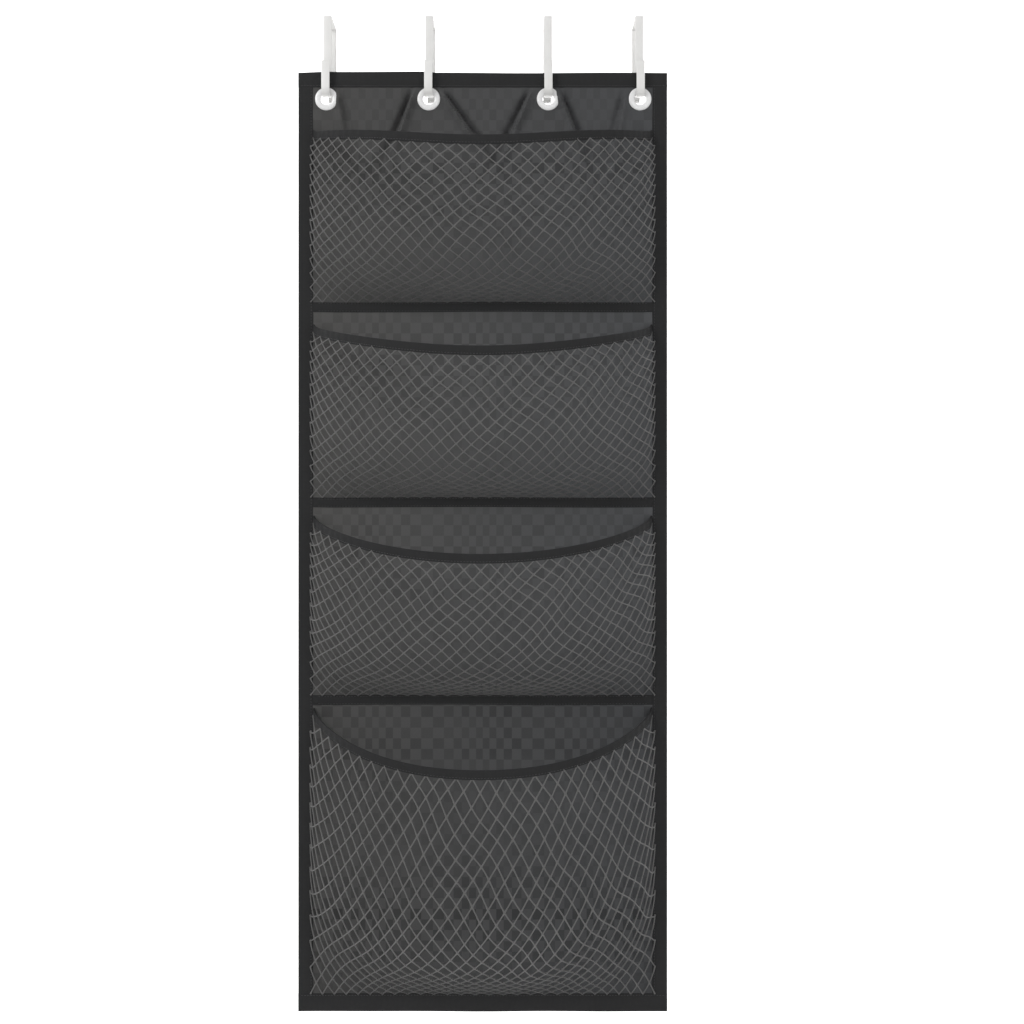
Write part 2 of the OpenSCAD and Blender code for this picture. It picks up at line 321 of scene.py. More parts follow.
# Dark squares where column + row is odd, as strong as chance makes the square and its row, times a slow
# cosine down the panel.
def liningFinish():
    look = {
        "light": (0.0640, 0.0645, 0.0655), "faded": (0.0880, 0.0885, 0.0895),
        "dark": (0.0240, 0.0243, 0.0250), "fadedDark": (0.0520, 0.0523, 0.0530),
        "thread": (0.11, 0.11, 0.112), "warm": (1.03, 1.0, 0.95), "cool": (0.97, 1.0, 1.05),
        "square": (10.4 * mm, 13 * mm), "uneven": 6 * mm, "unevenTurn": 47.0,
        "strongRows": 226 * mm, "strongAt": -201 * mm, "paleDrop": 0.5, "paleRate": 2.5,
        "pitch": 0.9 * mm, "patches": 9.0, "slubs": 420.0, "tintRate": 2.2}
    finish = Finish("lining cloth", Sheen_Weight=0.08, Sheen_Roughness=0.5, Specular_IOR_Level=0.25)
    where, u, v = finish.cutMap()
    # some columns come out wider
    across = v + finish.math("SINE", v * look["unevenTurn"]) * look["uneven"]
    column = finish.math("FLOOR", across * (1 / look["square"][0]))
    row = finish.math("FLOOR", u * (1 / look["square"][1]))
    odd = finish.math("PINGPONG", column + row, 1.0)
    cell = finish.node("CombineXYZ", None, {0: column, 1: row})
    chance = finish.node("TexWhiteNoise", {"noise_dimensions": "2D"}, {"Vector": cell})
    rowCell = finish.node("CombineXYZ", None, {0: row, 1: 7.0})
    rowChance = finish.node("TexWhiteNoise", {"noise_dimensions": "2D"}, {"Vector": rowCell})
    patches = finish.noise(where, look["patches"])
    faint = finish.math("SMOOTH_MIN", patches * 1.5, 1.0, 0.1)
    swing = finish.math("COSINE", (u - look["strongAt"]) * (2 * math.pi / look["strongRows"]))
    strong = swing * 0.5 + 0.5
    strong = strong * strong * (rowChance * 0.6 + 0.4)
    square = odd * (chance * 0.25 + strong * 0.75 + 0.12) * (faint * 0.6 + 0.4)
    threads = weave(finish, u, v, look["pitch"])
    slubs = finish.noise(where, look["slubs"])
    away = (u + look["paleDrop"]) * look["paleRate"]  # painted light: the cloth is painted palest half-way down the panel, lifting the shade the pockets cast there
    # painted light: by this share, the ground and the dark squares both move to paler colours
    fade = finish.math("MAXIMUM", 1 - away * away, 0.0)
    ground = finish.mix(fade, look["light"], look["faded"])
    colour = finish.mix(square, ground, finish.mix(fade, look["dark"], look["fadedDark"]))
    side = finish.math("MULTIPLY_ADD", v, look["tintRate"], 0.5)
    tint = finish.node("ValToRGB", {"stops": [(0.0, look["warm"]), (1.0, look["cool"])]}, {0: side})
    colour = finish.node(
        "Mix", {"data_type": "RGBA", "blend_type": "MULTIPLY"}, {0: 1.0, 6: colour, 7: tint}, output=2)
    colour = finish.mix(finish.math("MULTIPLY_ADD", threads, 0.10, 0.12), colour, look["thread"])
    roughness = finish.math("MULTIPLY_ADD", slubs, 0.2, 0.62)
    return finish.paint(colour, roughness, threads * 0.5 + slubs * 0.6, depth=0.15 * mm)


# Ribs across the tape and finer threads along it, each a sine of its own pitch.
def tapeFinish():
    look = {"dark": (0.0192, 0.0193, 0.0198), "light": (0.0365, 0.0365, 0.0375),
            "rib": 1.5 * mm, "thread": 0.7 * mm, "lint": 260.0, "patches": 14.0}
    finish = Finish("binding tape", Sheen_Weight=0.02, Sheen_Roughness=0.45, Specular_IOR_Level=0.15)
    where, u, v = finish.cutMap()
    ribs = finish.math("SINE", u * (2 * math.pi / look["rib"]))
    threads = finish.math("SINE", v * (2 * math.pi / look["thread"]))
    lint = finish.noise(where, look["lint"])
    patches = finish.noise(where, look["patches"])
    light = finish.math("MULTIPLY_ADD", ribs, 0.12, 0.2) + patches * 0.25
    colour = finish.mix(light, look["dark"], look["light"])
    roughness = finish.math("MULTIPLY_ADD", lint, 0.25, 0.55)
    return finish.paint(colour, roughness, ribs * 0.6 + threads * 0.15 + lint * 0.3, depth=0.2 * mm)


def threadFinish():
    finish = Finish("sewing thread", Sheen_Weight=0.1, Specular_IOR_Level=0.4)
    where = finish.node("TexCoord", None, None, output=3)
    twist = finish.noise(where, 1800.0)
    colour = finish.mix(twist, (0.022, 0.022, 0.023), (0.055, 0.055, 0.057))
    return finish.paint(colour, finish.math("MULTIPLY_ADD", twist, 0.2, 0.45), twist, depth=0.05 * mm)


# Twisted cord: a sine of the length along it in plies, plus two turns for each turn round it.
def netFinish():
    look = {"dark": (0.100, 0.099, 0.097), "light": (0.168, 0.167, 0.164), "dust": (0.060, 0.060, 0.060),
            "dusty": 0.9, "ply": 1.6 * mm, "patches": 30.0}
    finish = Finish("net cord", Sheen_Weight=0.12, Sheen_Roughness=0.4, Specular_IOR_Level=0.4)
    where, u, v = finish.cutMap()
    plies = finish.math("SINE", u * (2 * math.pi / look["ply"]) + v * (4 * math.pi))
    patches = finish.noise(where, look["patches"])
    share = finish.math("MULTIPLY_ADD", plies, 0.2, 0.3) + patches * 0.4
    colour = finish.mix(share, look["dark"], look["light"])
    low = finish.node("Attribute", {"attribute_name": "low"}, None, output=2)
    colour = finish.mix(low * look["dusty"], colour, look["dust"])  # painted shade: the down-facing cords of the gathered lower middle are painted darker
    return finish.paint(colour, finish.math("MULTIPLY_ADD", patches, 0.2, 0.5), plies, depth=0.12 * mm)


# White powder coat: an orange-peel grain, a little greyer at the worn spots.
def steelFinish():
    finish = Finish("white powder coat", Specular_IOR_Level=0.5, Coat_Roughness=0.25)
    where = finish.node("TexCoord", None, None, output=3)
    grain = finish.noise(where, 900.0, 3.0)
    rubbed = finish.math("SMOOTH_MIN", finish.noise(where, 45.0, 4.0) * 1.3, 1.0, 0.2)
    colour = finish.mix(rubbed, (0.80, 0.795, 0.775), (0.90, 0.895, 0.88))
    finish.feed(finish.shader.inputs["Coat Weight"], finish.math("MULTIPLY_ADD", grain, 0.2, 0.1))
    return finish.paint(colour, finish.math("MULTIPLY_ADD", grain, 0.2, 0.28), grain, depth=0.05 * mm)


def enamelFinish():
    finish = Finish("white enamel", Specular_IOR_Level=0.5, Coat_Roughness=0.1)
    where = finish.node("TexCoord", None, None, output=3)
    grain = finish.noise(where, 350.0, 3.0)
    colour = finish.mix(grain, (0.86, 0.86, 0.855), (0.93, 0.93, 0.93))
    finish.feed(finish.shader.inputs["Coat Weight"], finish.math("MULTIPLY_ADD", grain, 0.3, 0.25))
    return finish.paint(colour, finish.math("MULTIPLY_ADD", grain, 0.15, 0.2), grain, depth=0.03 * mm)


liningCloth, tapeCloth, thread = liningFinish(), tapeFinish(), threadFinish()
netCord, steel, enamel = netFinish(), steelFinish(), enamelFinish()
print("finishes made")


hang = {
    "wave": 1.0 * mm, "waveFrom": 160 * mm, "waveGrow": 100 * mm,
    "crease": 11 * mm, "creaseWidth": 4.6 * mm, "steep": 1.6,
    "creaseTop": 22 * mm, "creaseRun": 56 * mm, "growFrom": 15 * mm, "grow": 22 * mm,
    "fadeTo": 150 * mm, "fade": 80 * mm,
    "lip": 1.5 * mm, "lipEnd": 75 * mm, "lipBlend": 20 * mm, "lipStart": 30 * mm, "lipSag": 0.3 * mm}
# Pulled creases: the eyelet, the mm beside it at the crease's start and one creaseRun lower, and its size.
creases = [
    (0, 16, 24, 0.5), (1, -19, -40, 1.0), (1, 17, 56, 1.0),
    (2, -22, -48, 0.9), (2, 14, 36, 1.0), (3, -18, -30, 0.5)]


# Depth of the cloth behind its flat plane: slow sine waves down the panel, still at its side edges, and
# creases under the eyelets. A crease is steep * (d / w) * exp(-(d / w)^2) across, the slope of a bell curve
# at distance d from its line; its width w grows downwards, and it starts and fades as smooth steps.
def drape(x, z):
    drop = panelHigh[2] - z
    edge = np.clip(1 - (np.abs(x) / halfPanel) ** 6, 0, 1)
    low = np.clip((drop - hang["waveFrom"]) / hang["waveGrow"], 0, 1)
    depth = hang["wave"] * edge * low * (
        np.sin(x * 21 + z * 4.5) * np.sin(z * 13 + 0.7) + 0.6 * np.sin(x * 43 - z * 8 + 1.1))
    for number, start, end, size in creases:
        middle = eyeletCentres[number][0]
        share = np.clip((drop - hang["creaseTop"]) / hang["creaseRun"], -0.2, 2.4)
        line = middle + (start + (end - start) * share) * mm
        d = (x - line) / (hang["creaseWidth"] * (0.8 + 0.5 * np.clip(share, 0, 2)))
        on = np.clip((drop - hang["growFrom"]) / hang["grow"], 0, 1)
        off = np.clip((hang["fadeTo"] - drop) / hang["fade"], 0, 1)
        fade = on * on * (3 - 2 * on) * off * off * (3 - 2 * off)
        slope = np.sign(end - start) * hang["crease"] * size * fade
        depth = depth + slope * hang["steep"] * d * np.exp(-d * d)
    return depth


# Rise of the top edge: the lip's height over the left third, let down by a smooth step, less a slow sine.
def lipRise(x):
    t = np.clip((x + hang["lipEnd"]) / hang["lipBlend"], 0, 1)
    start = np.clip((x + halfPanel) / hang["lipStart"], 0, 1)
    return hang["lip"] * (1 - t * t * (3 - 2 * t)) * start - hang["lipSag"] * np.sin(x * 30)


bend = {"before": 0.5 * mm, "after": 13.5 * mm, "closeFrom": 4 * mm, "closeTo": 18 * mm, "closeLines": 16}


# Levels for a stretch of cloth: even steps, and close steps through each bend.
def levels(top, bottom, step, bends):
    parts = [np.linspace(top, bottom, max(2, int((top - bottom) / step)))]
    for level in bends:
        if bottom < level < top:
            ends = (level + bend["closeFrom"], level - bend["closeTo"])
            parts.append(np.linspace(*ends, bend["closeLines"]))
    found = np.unique(np.round(np.concatenate(parts), 5))
    return found[::-1]


splitDrop = 20 * mm  # the lining's pieces meet this far below half-way between two folds
splits = [
    (foldLevels[0] + foldLevels[1]) / 2 - splitDrop, (foldLevels[1] + foldLevels[2]) / 2 - splitDrop]
spanTops = [panelHigh[2], splits[0], splits[1]]
spanEnds = [splits[0], splits[1], panelLow[2]]
axisY = joints["fold_1"]["pos_m"][1]


# Works out a bend from just above the fold's axis to 13.5 mm below it, but only bakes the piece's
# transform; it does not bend it.
def acrossFold(piece, number):
    level = foldLevels[number]
    start, end = (0, axisY, level + bend["before"]), (0, axisY, level - bend["after"])
    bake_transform(piece)


liningShape = {
    "acrossStep": 2.2 * mm, "topStep": 2.6 * mm, "topTall": 160 * mm, "step": 6 * mm, "hole": 10.6 * mm}
liningGroups = [("back_panel_1", "back_panel_2"), ("back_panel_3",), ("back_panel_4",)]


# Front and back faces y = front + drape(x, z) and y = back + drape(x, z), with a hole at each eyelet.
def makeLining(number):
    half = liningHigh[0]
    top = liningHigh[2] if number == 0 else spanTops[number]
    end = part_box("back_panel_4")[0][2] if number == 2 else spanEnds[number]
    x = np.linspace(-half, half, int(2 * half / liningShape["acrossStep"]))
    z = levels(top, end, liningShape["step"], foldLevels)
    if number == 0:
        fine = np.arange(top, top - liningShape["topTall"], -liningShape["topStep"])
        z = np.concatenate([fine, z[z < fine[-1] - mm]])
    gridX, gridZ = np.meshgrid(x, z)
    depth = drape(gridX, gridZ)
    front = np.stack([gridX, liningFront + depth, gridZ], -1)
    back = np.stack([gridX, liningBack + depth, gridZ], -1)
    keep = np.ones((len(z) - 1, len(x) - 1), bool)
    if number == 0:
        midX, midZ = (x[1:] + x[:-1]) / 2, (z[1:] + z[:-1]) / 2
        for centre in eyeletCentres:
            away = np.hypot(midX[None, :] - centre[0], midZ[:, None] - centre[2])
            keep &= away > liningShape["hole"]
    piece = makePiece(f"lining_{number + 1}", [slabPart(front, back, z, x, keep)], [liningCloth])
    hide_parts(*liningGroups[number])
    return piece, (2 * half, top - end)


tapeShape = {
    "thick": 0.55 * mm, "bulge": 0.25 * mm, "stitchIn": 2.2 * mm, "underTop": 17.9 * mm,
    "wander": 0.25 * mm, "step": 6 * mm, "bottomSway": 0.2 * mm, "endEase": 0.6 * mm, "proud": 0.06 * mm}


# Channel profile (outward, depth): out along the front leg, round the fold, back along the rear leg, then
# along the cloth inside. Each leg swells by the square of a half sine from its inner edge to the fold.
def channel(inner, outer, count=7):
    thick, swell = tapeShape["thick"], tapeShape["bulge"]
    radius = (liningBack - liningFront) / 2 + thick
    leg = np.linspace(inner, outer - radius, count)
    share = (leg - inner) / (outer - radius - inner)
    puff = swell * np.sin(math.pi * share) ** 2
    middle = (liningFront + liningBack) / 2
    a = np.linspace(-math.pi / 2, math.pi / 2, 9)[1:-1]
    frontLeg = np.stack([leg, middle - radius - puff], 1)
    fold = np.stack([outer - radius + radius * np.cos(a), middle + radius * np.sin(a)], 1)
    rearLeg = np.stack([leg[::-1], middle + radius + puff[::-1]], 1)
    gap = 0.02 * mm
    deepest = outer - thick - 0.1 * mm
    inside = np.array([
        [inner, liningBack + gap], [deepest, liningBack + gap],
        [deepest, liningFront - gap], [inner, liningFront - gap]])
    rim = 0.12 * mm
    frontLeg[0, 0] += rim
    rearLeg[-1, 0] += rim
    return np.concatenate([frontLeg, fold, rearLeg, inside])


def profileLength(profile):
    step = np.linalg.norm(np.diff(np.vstack([profile, profile[:1]]), axis=0), axis=1)
    return np.concatenate([[0], np.cumsum(step)])


sideNodes = [("1", "2"), ("3",), ("4",)]


# The channel carried down the panel's side, y moved by drape(x, z); its inner edge wanders as a slow sine.
def makeSideTape(number, side):
    name = "right" if side > 0 else "left"
    top = panelHigh[2] - tapeShape["underTop"] if number == 0 else spanTops[number]
    end = span("bottom_tape")[1][2] if number == 2 else spanEnds[number]
    z = levels(top, end, tapeShape["step"], foldLevels)
    profile = channel(tapeInner, halfPanel)
    x = np.broadcast_to(side * profile[:, 0], (len(z), len(profile)))
    level = np.broadcast_to(z[:, None], x.shape)
    wander = tapeShape["wander"] * np.sin(level * 61 + side) * (np.abs(x) < tapeInner + 2 * mm)
    points = np.stack([x + wander, profile[:, 1] + drape(x, level), level], -1)
    parts = [gridPart(points, z, profileLength(profile), closed=True, caps=True)]
    at = side * (tapeInner + tapeShape["stitchIn"])
    depth = drape(np.full(len(z), at), z)
    share = tapeShape["stitchIn"] / (halfPanel - tapeInner)
    puff = tapeShape["bulge"] * math.sin(math.pi * share) ** 2
    rise = tapeShape["thick"] + puff
    for way, face in ((-1, liningFront - rise), (1, liningBack + rise)):
        line = np.stack([np.full(len(z), at), face + depth, z], -1)
        parts.append(stitchRow(line, np.tile([0.0, way, 0.0], (len(z), 1))))
    piece = makePiece(f"{name}_binding_{number + 1}", parts, [tapeCloth, thread])
    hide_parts(*[f"{name}_tape_{k}" for k in sideNodes[number]])
    return piece


# The channel carried along the top or bottom edge; outward is up or down. Its fold follows the edge's rise
# by the cube of the share outward, and its ends are a quarter thinner.
def makeLevelTape(name, node, way, body):
    low, high = span(node)
    inner, outer = (low[2], high[2]) if way > 0 else (high[2], low[2])
    profile = channel(0, abs(outer - inner))
    x = np.linspace(-halfPanel, halfPanel, 181)
    close = np.clip((halfPanel - np.abs(x)) / tapeShape["endEase"], 0, 1)
    rise = lipRise(x) if way > 0 else tapeShape["bottomSway"] * np.sin(x * 27)
    out = profile[None, :, 0] / abs(outer - inner)
    z = inner + way * profile[None, :, 0] + rise[:, None] * out ** 3
    middle = (liningFront + liningBack) / 2
    deep = middle + (profile[None, :, 1] - middle) * (0.75 + 0.25 * close[:, None])
    gridX = np.broadcast_to(x[:, None], z.shape)
    points = np.stack([gridX, deep + drape(gridX, z), z], -1)
    parts = [gridPart(points, x, profileLength(profile), closed=True, caps=True)]
    level = inner + way * tapeShape["stitchIn"]
    row = np.linspace(-halfPanel + 3 * mm, halfPanel - 3 * mm, 181)
    depth = drape(row, np.full(len(row), level))
    for side, face in ((-1, liningFront - tapeShape["thick"]), (1, liningBack + tapeShape["thick"])):
        line = np.stack([row, face + depth + side * tapeShape["proud"], np.full(len(row), level)], -1)
        parts.append(stitchRow(line, np.tile([0.0, side, 0.0], (len(row), 1))))
    piece = makePiece(name, parts, [tapeCloth, thread])
    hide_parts(node)
    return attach(piece, body)


bandShape = {"thick": 1.3 * mm, "stitchIn": 1.6 * mm, "crown": 0.4, "sag": 0.35 * mm, "gap": 0.02 * mm}


# A flat tape with a crowned face: its thickness falls to its edges as a half sine to the crown's power,
# and its level sags as a slow sine.
def makeBand(number):
    low, high = span(f"seam_band_{number}")
    x = np.linspace(low[0], high[0], 141)
    t = np.linspace(0, 1, 15)
    rise = np.sin(math.pi * np.clip(t, 0.004, 0.996)) ** bandShape["crown"]
    outer = np.stack([t, rise], 1)
    inner = np.stack([t[-2:0:-1], np.zeros(13)], 1)
    profile = np.concatenate([outer, inner])
    sag = bandShape["sag"] * np.sin(x * 19 + number) * np.clip((high[0] - np.abs(x)) / 0.02, 0, 1)
    z = low[2] + (high[2] - low[2]) * profile[None, :, 0] + sag[:, None]
    gridX = np.broadcast_to(x[:, None], z.shape)
    y = liningFront - bandShape["gap"] - bandShape["thick"] * profile[None, :, 1] + drape(gridX, z)
    length = profileLength(profile * [[high[2] - low[2], bandShape["thick"]]])
    parts = [gridPart(np.stack([gridX, y, z], -1), x, length, closed=True, caps=True)]
    for level in (low[2] + bandShape["stitchIn"], high[2] - bandShape["stitchIn"]):
        depth = drape(x, np.full(len(x), level))
        share = bandShape["stitchIn"] / (high[2] - low[2])
        face = liningFront - bandShape["thick"] * math.sin(math.pi * share) ** bandShape["crown"]
        for way, start in ((-1, face), (1, liningBack)):
            line = np.stack([x, start + depth, level + sag], -1)[2:-2]
            parts.append(stitchRow(line, np.tile([0.0, way, 0.0], (len(line), 1))))
    piece = makePiece(f"band_{number}", parts, [tapeCloth, thread])
    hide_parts(f"seam_band_{number}")
    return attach(piece, f"section_{number}")


netShape = {
    "columns": 27, "rows": [14, 13, 13, 13], "cord": [1.3 * mm, 1.3 * mm, 1.3 * mm, 1.5 * mm],
    "sides": 6, "steps": 8, "knot": 0.45, "wander": 0.09, "blouse": 5 * mm, "roundShare": 0.45,
    "inset": 0.4 * mm, "stand": 1.8 * mm, "tuck": 1.5 * mm, "knotSpan": 0.16,
    "middleWide": 1.2, "tallRow": 1.35, "flatRow": 0.33, "softTurn": 0.06, "sideClose": 0.3,
    "hemSpread": 0.3, "overlap": 3.6 * mm, "overlapFrom": 0.06, "blouseFrom": 40 * mm,
    "middlePower": 0.7, "dustFrom": 0.5, "crossLift": 0.2, "nearAcross": 0.002, "nearDown": 0.004}
mouthShape = {
    "height": 11 * mm, "leg": 0.6 * mm, "out": 0.75 * mm, "in": -1.5 * mm, "insideTop": 1.2 * mm,
    "puff": 0.25 * mm, "ripple": 0.18 * mm, "stitchUp": 2 * mm, "proud": 0.16 * mm}


class Pocket:  # one pocket's hanging surface
    def __init__(self, number):
        mouthLow, mouthHigh = span(f"mouth_tape_{number}")
        netLow, netHigh = span(f"pocket_net_{number}")
        self.number = number
        self.half = netHigh[0]
        self.bulge = liningFront - netLow[1]
        self.mouth = mouthHigh[2]
        self.sag = mouthHigh[2] - mouthLow[2] - mouthShape["height"]
        self.end = netLow[2]
        self.place = -np.cos(np.linspace(0, math.pi, 721))
        step = np.hypot(self.half * np.diff(self.place), self.bulge * np.diff(self.plan(self.place)))
        arc = np.concatenate([[0], np.cumsum(step)])
        self.arcShare, self.width = arc / arc[-1], arc[-1]

    # Seen from above the pocket is flat in front with sloping sides: (1 - |x|^3)^0.85, x from -1 to 1.
    def plan(self, x):
        return np.maximum(1 - np.abs(x) ** 3, 0) ** 0.85

    # The bulge is whole for the upper half and closes to the lining as a quarter sine.
    def fullness(self, v):
        return np.sin(math.pi / 2 * np.minimum(1, (1 - v) / 0.5))

    # The mouth sags by a mix of q and q^2, q = sqrt(1 - x^2).
    def mouthLevel(self, x):
        share, sine = netShape["roundShare"], np.sqrt(np.maximum(1 - x ** 2, 0))
        return self.mouth - self.sag * (share * sine + (1 - share) * sine ** 2)

    # The cut's length: the longest run down the net, over the middle or at a side.
    def flatLength(self):
        s, t = np.meshgrid(np.linspace(0.02, 0.98, 25), np.linspace(0, 1, 201), indexing="ij")
        run = np.linalg.norm(np.diff(self.point(s, t), axis=1), axis=2).sum(1)
        return run.max()

    # Rows over the middle: tall and even to the belly, then close together, as a slope that
    # softly changes from tall to flat; both slopes together reach 1 at the hem.
    def sagged(self, t):
        tall, flat, soft = netShape["tallRow"], netShape["flatRow"], netShape["softTurn"]
        turn = 1 - (tall - 1) / (tall - flat)
        bent = lambda place: soft * np.logaddexp(0, (place - turn) / soft)
        run = lambda place: tall * place - (tall - flat) * bent(place)
        return (run(t) - run(0.0)) / (run(1.0) - run(0.0))

    # Place of the net at share s across and t down, with e = 2s - 1: x = 1.2 e - 0.2 e |e|, more even
    # towards the hem, y = lining - bulge * fullness * plan(x), and z from the mouth to the hem at v, which
    # goes from t - 0.3 (t - t^2) at the sides to the sagged rows at the middle as (1 - x^2)^0.7. Half-way
    # down, the net is a little wider than its mouth, and it runs over the side tapes' inner edges as x^6.
    def point(self, s, t):
        even, shape = 2 * s - 1, netShape
        whole = shape["middleWide"] * even - (shape["middleWide"] - 1) * even * np.abs(even)
        share = np.maximum(1 - whole ** 2, 0) ** shape["middlePower"]
        v = (1 - share) * (t - shape["sideClose"] * (t - t ** 2)) + share * self.sagged(t)
        full = self.fullness(v)
        spread = shape["hemSpread"] * (1 - full)
        x = (1 - spread) * whole + spread * even
        stand, out = shape["stand"], full * self.plan(x)
        depth = stand + (self.bulge - stand - shape["inset"]) * out
        top = self.mouthLevel(x) - mouthShape["height"] + shape["tuck"]
        widen = shape["blouse"] * np.minimum(1, depth / shape["blouseFrom"])
        widen = widen * np.sin(math.pi * np.clip(v, 0, 1)) ** 0.5
        widen = widen + shape["overlap"] * x ** 6 * np.minimum(1, v / shape["overlapFrom"])
        where = np.stack([
            x * (self.half + widen), liningFront - depth, top + (self.end - top) * v], -1)
        where[..., 1] += drape(where[..., 0], where[..., 2]) * (1 - out)
        return where


# The net's cords are two families of lines, s * columns - t * rows and s * columns + t * rows being whole
# numbers. Each is a tube whose radius swells by a bell curve at every crossing.
def makeNet(pocket):
    shape = netShape
    number = pocket.number
    columns, rows = shape["columns"], shape["rows"][number - 1]
    radius = shape["cord"][number - 1] / 2
    phases = seeds.uniform(0, 2 * math.pi, (2, 4))
    waves = seeds.uniform(0.6, 2.6, (2, 4, 2)) * math.pi

    def uneven(k, s, t):
        total = 0
        for phase, (a, b) in zip(phases[k], waves[k]):
            total = total + np.sin(phase + s * a * 5 + t * b * 2.2)
        inside = np.clip(np.minimum(s, 1 - s) * columns, 0, 1) * np.clip(np.minimum(t, 1 - t) * rows, 0, 1)
        return shape["wander"] * total / 2 * inside

    # a short step on the net, from one side of each point to the other
    def step(s, t, across, down):
        ahead = pocket.point(np.clip(s + across, 0, 1), np.clip(t + down, 0, 1))
        behind = pocket.point(np.clip(s - across, 0, 1), np.clip(t - down, 0, 1))
        return ahead - behind

    lattice = np.arange(0, rows * shape["steps"] + 1) / (rows * shape["steps"])
    ring = np.arange(shape["sides"]) * 2 * math.pi / shape["sides"]
    parts, sides, low = [], 0.0, []
    for way in (1, -1):
        for k in range(-rows, columns + rows + 1):
            s = (k + way * lattice * rows) / columns
            inside = (s > -1e-9) & (s < 1 + 1e-9)
            if inside.sum() < 4:
                continue
            s, t = s[inside], lattice[inside]
            phase = t * rows * 2
            near = (phase - np.round(phase)) / shape["knotSpan"]
            swell = 1 + shape["knot"] * np.exp(-near ** 2)
            s2 = np.clip(s + uneven(0, s, t) / columns, 0, 1)
            t2 = np.clip(t + uneven(1, s, t) / rows, 0, 1)
            line = pocket.point(s2, t2)
            beside = step(s2, t2, shape["nearAcross"], 0)
            below = step(s2, t2, 0, shape["nearDown"])
            out = np.cross(below, beside)
            out /= np.maximum(np.linalg.norm(out, axis=1, keepdims=True), 1e-9)
            along = np.gradient(line, axis=0)
            along /= np.maximum(np.linalg.norm(along, axis=1, keepdims=True), 1e-9)
            out = out - along * (out * along).sum(1, keepdims=True)
            out /= np.maximum(np.linalg.norm(out, axis=1, keepdims=True), 1e-9)
            side = np.cross(along, out)
            line = line + out * way * shape["crossLift"] * radius
            size = radius * swell
            tube = line[:, None] + size[:, None, None] * (
                out[:, None] * np.sin(ring)[None, :, None] + side[:, None] * np.cos(ring)[None, :, None])
            length = np.concatenate([[0], np.cumsum(np.linalg.norm(np.diff(line, axis=0), axis=1))])
            turns = np.arange(shape["sides"] + 1) / shape["sides"]
            parts.append(gridPart(tube, length, turns, closed=True, caps=True))
            # painted shade is strongest in the net's middle and grows from half-way down to the hem
            middle = np.maximum(1 - (2 * s2 - 1) ** 2, 0) ** shape["middlePower"]
            under = np.maximum(t2 - shape["dustFrom"], 0) / (1 - shape["dustFrom"])
            low.append(np.repeat(middle * under, shape["sides"]))
            sides += (t[-1] - t[0]) * rows * 2  # how many mesh sides this cord makes
    piece = makePiece(f"net_{number}", parts, [netCord])
    layer = piece.data.attributes.new("low", "FLOAT", "POINT")  # how far under the pocket a cord lies, which sets its painted shade
    layer.data.foreach_set("value", np.concatenate(low).astype(np.float32))
    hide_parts(f"pocket_net_{number}")
    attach(piece, f"section_{number}")
    tall = pocket.flatLength()
    meshSide = math.hypot(pocket.width / columns, tall / rows) / 2
    return piece, tall, sides * meshSide


# The mouth tape is a channel profile (out, down) carried round the mouth; its legs swell by a half sine.
def makeMouthTape(pocket):
    s = np.linspace(0, 1, 181)
    x = np.interp(s, pocket.arcShare, pocket.place)
    centre = np.stack([
        pocket.half * x, liningFront - pocket.bulge * pocket.plan(x), pocket.mouthLevel(x)], -1)
    along = np.gradient(centre, axis=0)
    out = np.stack([along[:, 1], -along[:, 0], np.zeros(len(s))], -1)
    out /= np.linalg.norm(out, axis=1, keepdims=True)
    shape = mouthShape
    middle, half = (shape["out"] + shape["in"]) / 2, (shape["out"] - shape["in"]) / 2
    fold = np.linspace(0, math.pi, 9)
    down = np.linspace(half, shape["height"], 6)
    puff = shape["puff"] * np.sin(math.pi * (down - half) / (shape["height"] - half))
    outerLeg = np.stack([shape["out"] + puff, down], 1)[::-1]
    top = np.stack([middle + half * np.cos(fold), half - half * np.sin(fold)], 1)[1:-1]
    innerLeg = np.stack([shape["in"] - puff, down], 1)
    leg = shape["leg"]
    inside = np.array([
        [shape["in"] + leg, shape["height"]], [shape["in"] + leg, shape["insideTop"]],
        [shape["out"] - leg, shape["insideTop"]], [shape["out"] - leg, shape["height"]]])
    profile = np.concatenate([outerLeg, top, innerLeg, inside])
    ripple = shape["ripple"] * np.sin(s * 260 + pocket.number)
    points = centre[:, None] + out[:, None] * (profile[None, :, 0, None] + ripple[:, None, None])
    points[..., 2] -= profile[None, :, 1]
    run = np.concatenate([[0], np.cumsum(np.linalg.norm(np.diff(centre, axis=0), axis=1))])
    parts = [gridPart(points, run, profileLength(profile), closed=True, caps=True)]
    line = centre + out * (shape["out"] + shape["proud"] + ripple[:, None])
    line[:, 2] -= shape["height"] - shape["stitchUp"]
    parts.append(stitchRow(line, out))
    piece = makePiece(f"mouth_binding_{pocket.number}", parts, [tapeCloth, thread])
    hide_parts(f"mouth_tape_{pocket.number}")
    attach(piece, f"section_{pocket.number}")
    return piece, run[-1]


eyeletShape = {"hole": 7 * mm, "flange": 14 * mm, "dome": 1.9 * mm, "sides": 72}


